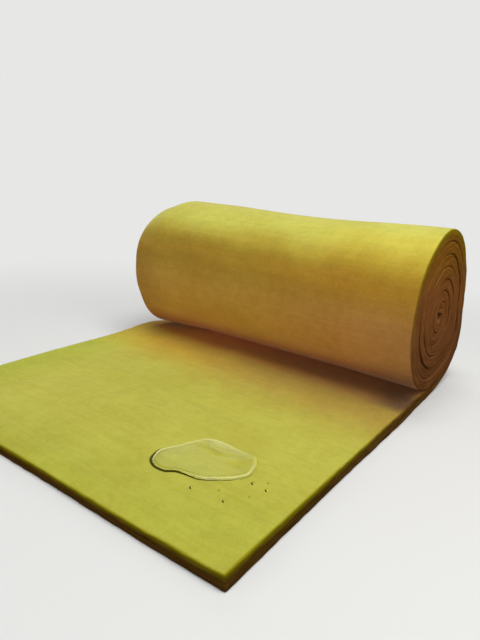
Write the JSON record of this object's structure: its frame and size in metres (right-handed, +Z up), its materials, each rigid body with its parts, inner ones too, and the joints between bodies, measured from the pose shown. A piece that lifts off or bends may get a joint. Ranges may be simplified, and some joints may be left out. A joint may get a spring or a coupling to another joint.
{
  "type": "greenhouse insulation blanket",
  "caption": "Yellow unfaced wool insulation blanket, partly unrolled: a flat stretch and a spiral-wound roll, for lining greenhouses and roofs.",
  "frame": {"origin": "on the floor, at the middle of the space that the blanket takes", "axes": "+X along the roll's axis, +Y from the open cut end towards the roll, +Z up"},
  "size_m": [1.2, 1.4992, 0.5982],
  "materials": {
    "wool": "matte yellow fibre felt"
  },
  "bodies": {
    "root": {"blanket": "wool"}
  },
  "joints": []
}
